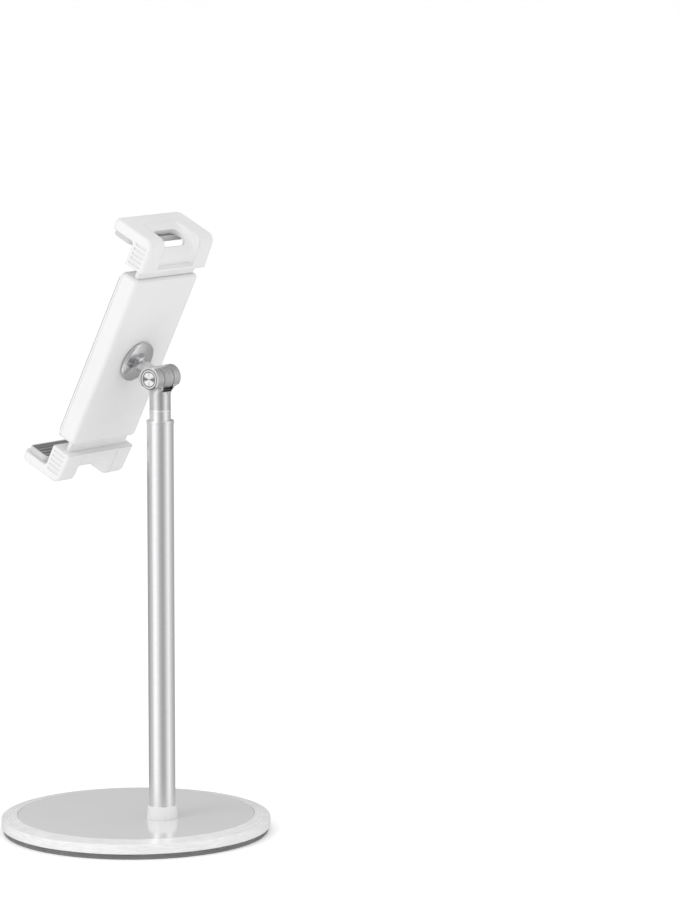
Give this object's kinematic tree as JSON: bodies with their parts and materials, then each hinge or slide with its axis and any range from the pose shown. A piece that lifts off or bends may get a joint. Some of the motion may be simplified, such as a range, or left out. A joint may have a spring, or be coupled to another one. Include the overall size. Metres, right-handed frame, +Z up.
{
  "type": "tablet stand",
  "caption": "Desk stand for a tablet or phone: weighted round base, telescopic round mast, tilting swivel head and a holder whose sprung jaws open together.",
  "frame": {"origin": "centre of the round base's underside, on the surface it stands on", "axes": "+Z up along the mast, -Y the way the screen faces, X along the tilt hinge"},
  "size_m": [0.1684, 0.1684, 0.3872],
  "materials": {
    "base_rubber": "matt moulded rubber",
    "zinc_steel": "zinc plated",
    "white_enamel": "satin white enamel with a fine brushed texture",
    "cast_weight": "as cast",
    "gloss_panel": "polished light grey",
    "satin_aluminium": "satin anodised",
    "white_gloss": "gloss white",
    "nylon": "natural nylon",
    "cast_aluminium": "finely turned and satin anodised",
    "black_washer": "matt black",
    "spun_chrome": "bright, spun in circles",
    "white_shell": "fine moulded texture",
    "grip_silicone": "soft silicone"
  },
  "bodies": {
    "base": {"base_rubber_pad": "base_rubber", "base_bottom_plate": "zinc_steel", "base_rim": "white_enamel", "counterweight": "cast_weight", "base_top_panel": "gloss_panel", "base_screw_1": "zinc_steel", "base_screw_2": "zinc_steel", "base_screw_3": "zinc_steel", "base_screw_4": "zinc_steel", "mast_bolt": "zinc_steel", "mast_bolt_washer": "zinc_steel", "mast_foot": "satin_aluminium", "mast_outer_tube": "satin_aluminium", "mast_ferrule": "white_gloss", "mast_collar": "satin_aluminium", "mast_stop_ring": "zinc_steel", "mast_friction_sleeve": "nylon"},
    "lift": {"mast_guide_bush": "nylon"},
    "upper_mast": {"mast_inner_tube": "satin_aluminium", "yoke_pin": "zinc_steel", "yoke": "cast_aluminium", "hinge_bolt": "zinc_steel", "hinge_nut": "zinc_steel", "hinge_washer_left": "black_washer", "hinge_washer_right": "black_washer", "hinge_cap_left": "cast_aluminium", "hinge_cap_right": "cast_aluminium", "hinge_inlay_left": "spun_chrome", "hinge_inlay_right": "spun_chrome"},
    "arm": {"swivel_arm": "cast_aluminium", "swivel_washer": "zinc_steel", "swivel_retainer": "zinc_steel", "swivel_screw": "zinc_steel"},
    "holder": {"holder_back_shell": "white_shell", "holder_front_cover": "white_shell", "cover_screw_1": "zinc_steel", "cover_screw_2": "zinc_steel", "cover_screw_3": "zinc_steel", "cover_screw_4": "zinc_steel", "cover_screw_5": "zinc_steel", "cover_screw_6": "zinc_steel", "holder_front_pad": "grip_silicone", "pinion_axle": "zinc_steel", "top_jaw_spring": "zinc_steel", "bottom_jaw_spring": "zinc_steel"},
    "jaw_top": {"top_slider": "white_shell", "top_jaw": "white_shell", "top_jaw_pad": "grip_silicone"},
    "jaw_bottom": {"bottom_slider": "white_shell", "bottom_jaw": "white_shell", "bottom_jaw_pad": "grip_silicone"},
    "pinion_gear": {"pinion": "nylon"}
  },
  "joints": [
    {"name": "mast_slide", "type": "slide", "parent": "base", "child": "lift", "axis": [0, 0, 1], "range_m": [0, 0.12]},
    {"name": "mast_swivel", "type": "hinge", "parent": "lift", "child": "upper_mast", "pos_m": [0, 0.021, 0.051], "axis": [0, 0, 1], "continuous": true},
    {"name": "head_tilt", "type": "hinge", "parent": "upper_mast", "child": "arm", "pos_m": [0, 0.021, 0.287], "axis": [-1, 0, 0], "range_deg": [-26.5, 60]},
    {"name": "holder_spin", "type": "hinge", "parent": "arm", "child": "holder", "pos_m": [0, 0.00194, 0.2965], "axis": [0, -0.8949, 0.4462], "continuous": true},
    {"name": "top_jaw_slide", "type": "slide", "parent": "holder", "child": "jaw_top", "axis": [0, 0.4462, 0.8949], "range_m": [0, 0.036], "stiffness_N_per_m": 150, "springref_m": -0.03, "deforming": ["top_jaw_spring"]},
    {"name": "bottom_jaw_slide", "type": "slide", "parent": "holder", "child": "jaw_bottom", "axis": [0, -0.4462, -0.8949], "range_m": [0, 0.036], "deforming": ["bottom_jaw_spring"]},
    {"name": "pinion_spin", "type": "hinge", "parent": "holder", "child": "pinion_gear", "pos_m": [0, -0.00522, 0.30007], "axis": [0, -0.8949, 0.4462], "range_deg": [0, 345]}
  ],
  "couplings": [
    {"joint": "bottom_jaw_slide", "follows": "top_jaw_slide", "ratio": 1},
    {"joint": "pinion_spin", "follows": "top_jaw_slide", "rad_per_m": 166.67}
  ]
}
